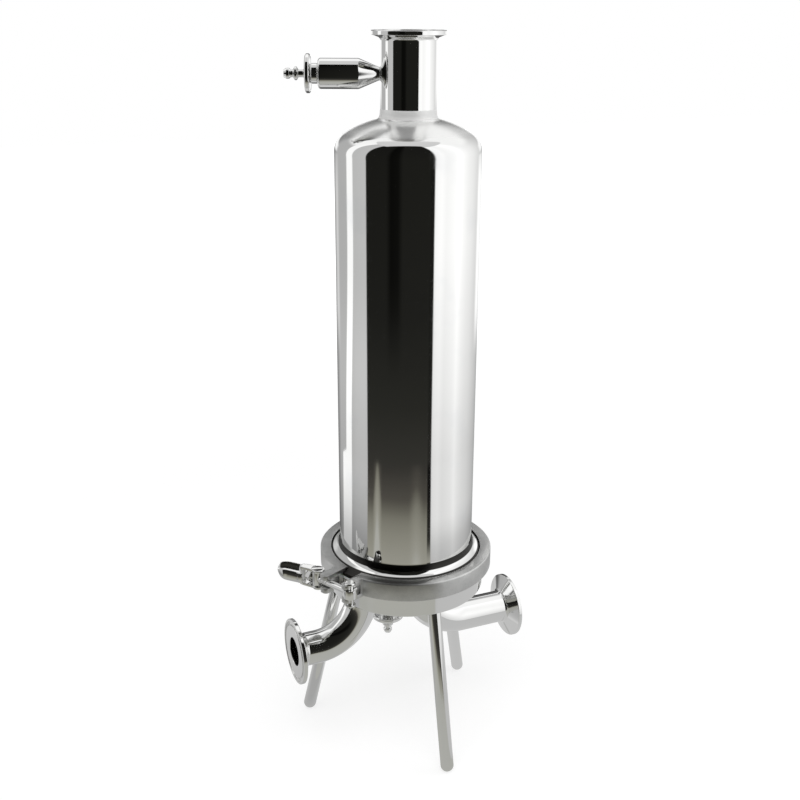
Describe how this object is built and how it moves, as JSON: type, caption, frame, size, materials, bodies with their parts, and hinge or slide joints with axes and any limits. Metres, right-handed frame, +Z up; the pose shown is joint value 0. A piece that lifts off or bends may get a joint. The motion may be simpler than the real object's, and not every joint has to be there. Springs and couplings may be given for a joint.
{
  "type": "sanitary cartridge filter housing",
  "caption": "Upright polished sanitary cartridge filter housing on splayed legs, with clamped base, side vent valve, drain valve and clamp-ferrule ports.",
  "frame": {"origin": "on the floor, under the shell's axis, at the middle of the three feet", "axes": "+Z up along the shell's axis, +X towards the outlet port, the inlet on -X"},
  "size_m": [0.1945, 0.15, 0.535],
  "materials": {
    "mirror_steel": "mirror-polished stainless steel",
    "satin_steel": "cast stainless steel, satin",
    "seal_rubber": "smooth white silicone",
    "cartridge_plastic": "moulded white plastic",
    "filter_medium": "pleated non-woven filter medium"
  },
  "bodies": {
    "root": {"barrel_tube": "mirror_steel", "dome_head": "mirror_steel", "neck_tube": "mirror_steel", "top_ferrule": "mirror_steel", "shell_flange": "mirror_steel", "body_gasket": "seal_rubber", "base_plate": "mirror_steel", "leg_front": "mirror_steel", "leg_right": "mirror_steel", "leg_left": "mirror_steel", "inlet_elbow": "mirror_steel", "inlet_ferrule": "mirror_steel", "outlet_elbow": "mirror_steel", "outlet_pipe": "mirror_steel", "outlet_ferrule": "mirror_steel", "vent_valve_body": "mirror_steel", "drain_valve_body": "mirror_steel", "clamp_half_right": "satin_steel", "clamp_half_left": "satin_steel", "clamp_hinge_pin": "satin_steel", "eye_bolt_pin": "satin_steel", "cartridge_foot_cap": "cartridge_plastic", "spigot_o_rings": "seal_rubber", "cartridge_core": "cartridge_plastic", "cartridge_cage": "cartridge_plastic", "pleated_medium": "filter_medium", "cartridge_top_cap": "cartridge_plastic"},
    "eye_bolt": {"eye_bolt": "satin_steel", "cross_barrel": "satin_steel", "adjusting_nut": "satin_steel"},
    "latch_lever": {"latch_lever": "mirror_steel"},
    "vent_spindle": {"vent_spindle": "mirror_steel", "vent_seal": "seal_rubber"},
    "vent_knob": {"vent_knob": "mirror_steel"},
    "drain_spindle": {"drain_spindle": "mirror_steel", "drain_seal": "seal_rubber"},
    "drain_knob": {"drain_knob": "mirror_steel"}
  },
  "joints": [
    {"name": "eye_bolt_swing", "type": "hinge", "parent": "root", "child": "eye_bolt", "pos_m": [-0.06268, -0.04397, 0.1495], "axis": [0, 0, 1], "range_deg": [0, 95]},
    {"name": "latch_lever_turn", "type": "hinge", "parent": "eye_bolt", "child": "latch_lever", "pos_m": [-0.07714, -0.01364, 0.1495], "axis": [0, 0, 1], "range_deg": [0, 90]},
    {"name": "vent_spindle_travel", "type": "slide", "parent": "root", "child": "vent_spindle", "axis": [-0.9171, 0.3987, 0], "range_m": [0, 0.003]},
    {"name": "vent_knob_turn", "type": "hinge", "parent": "vent_spindle", "child": "vent_knob", "pos_m": [-0.06236, 0.02712, 0.5071], "axis": [-0.9171, 0.3987, 0], "range_deg": [0, 720]},
    {"name": "drain_spindle_travel", "type": "slide", "parent": "root", "child": "drain_spindle", "axis": [0, 0, -1], "range_m": [0, 0.003]},
    {"name": "drain_knob_turn", "type": "hinge", "parent": "drain_spindle", "child": "drain_knob", "pos_m": [-0.003, 0.029, 0.077], "axis": [0, 0, -1], "range_deg": [0, 720]}
  ],
  "couplings": [
    {"joint": "vent_knob_turn", "follows": "vent_spindle_travel", "rad_per_m": 4188.8},
    {"joint": "drain_knob_turn", "follows": "drain_spindle_travel", "rad_per_m": 4188.8}
  ]
}
